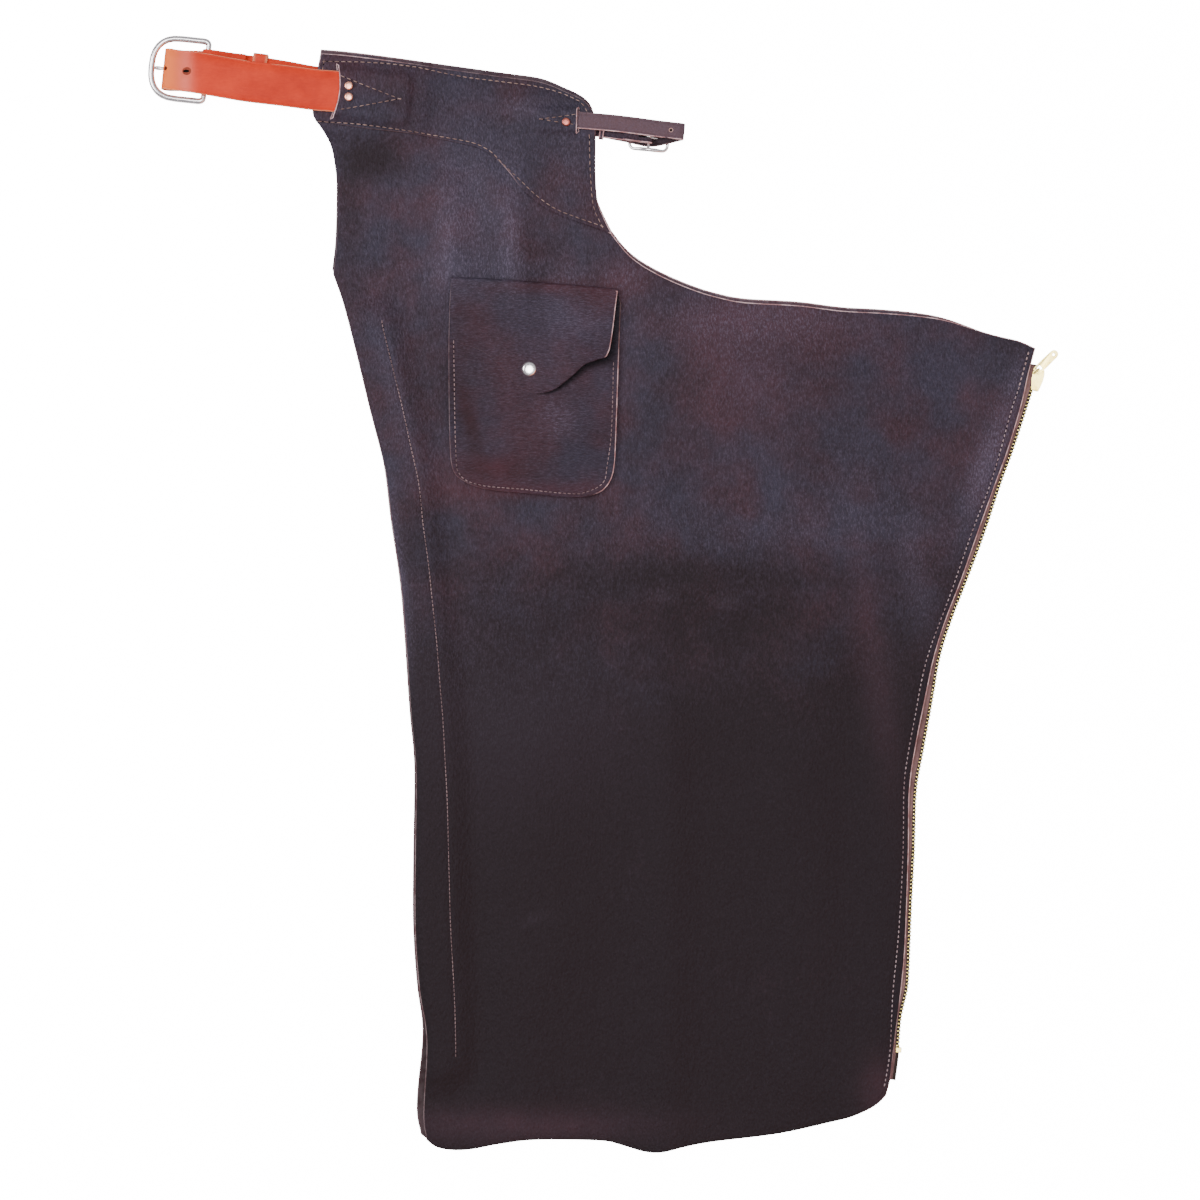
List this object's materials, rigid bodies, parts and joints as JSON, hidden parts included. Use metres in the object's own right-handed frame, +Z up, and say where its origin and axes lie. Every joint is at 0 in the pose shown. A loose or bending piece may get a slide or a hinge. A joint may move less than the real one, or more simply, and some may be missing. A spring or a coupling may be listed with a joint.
{
  "type": "leather chaps",
  "caption": "Pair of oiled leather chaps with a buckled belt, opened out flat and stacked, with a flap pocket and side zips.",
  "frame": {"origin": "centre of the bounding box, at the surface that the garment lies on", "axes": "+Z up from the surface, +Y from the hem towards the waist belt, +X from the folded side towards the zip edge"},
  "size_m": [0.8643, 1.0619, 0.0195],
  "materials": {
    "oiled_leather": "oiled pull-up, dark brown to burgundy, soft satin",
    "belt_leather": "smooth vegetable-tanned, reddish tan, satin",
    "nickel": "polished nickel plate",
    "copper": "copper plate, satin",
    "brass": "antique brass",
    "zip_tape": "woven polyester, dark brown"
  },
  "bodies": {
    "chaps": {"belt_billet": "belt_leather", "belt_buckle_frame": "nickel", "belt_buckle_strap": "belt_leather", "belt_keeper": "belt_leather", "belt_prong": "nickel", "belt_rivet_bottom": "copper", "belt_rivet_top": "copper", "crotch_billet": "oiled_leather", "crotch_buckle_frame": "nickel", "crotch_buckle_strap": "oiled_leather", "crotch_keeper": "oiled_leather", "crotch_prong": "nickel", "crotch_rivet": "copper", "leg_panel_lower": "oiled_leather", "leg_panel_upper": "oiled_leather", "pocket_flap": "oiled_leather", "pocket_front": "oiled_leather", "snap_cap": "nickel", "yoke_lower": "oiled_leather", "yoke_upper": "oiled_leather", "zip_box": "brass", "zip_slider": "brass", "zip_tape_lower_edge": "zip_tape", "zip_tape_lower_side": "zip_tape", "zip_tape_upper_edge": "zip_tape", "zip_tape_upper_side": "zip_tape", "zip_teeth_lower_edge": "brass", "zip_teeth_lower_side": "brass", "zip_teeth_upper_edge": "brass", "zip_teeth_upper_side": "brass"},
    "zip_pull": {"zip_pull_tab": "brass"}
  },
  "joints": [
    {"name": "zip_pull_hinge", "type": "hinge", "parent": "chaps", "child": "zip_pull", "pos_m": [0.4115, 0.212, 0.0128], "axis": [0.6947, -0.7193, 0], "range_deg": [0, 150]}
  ]
}
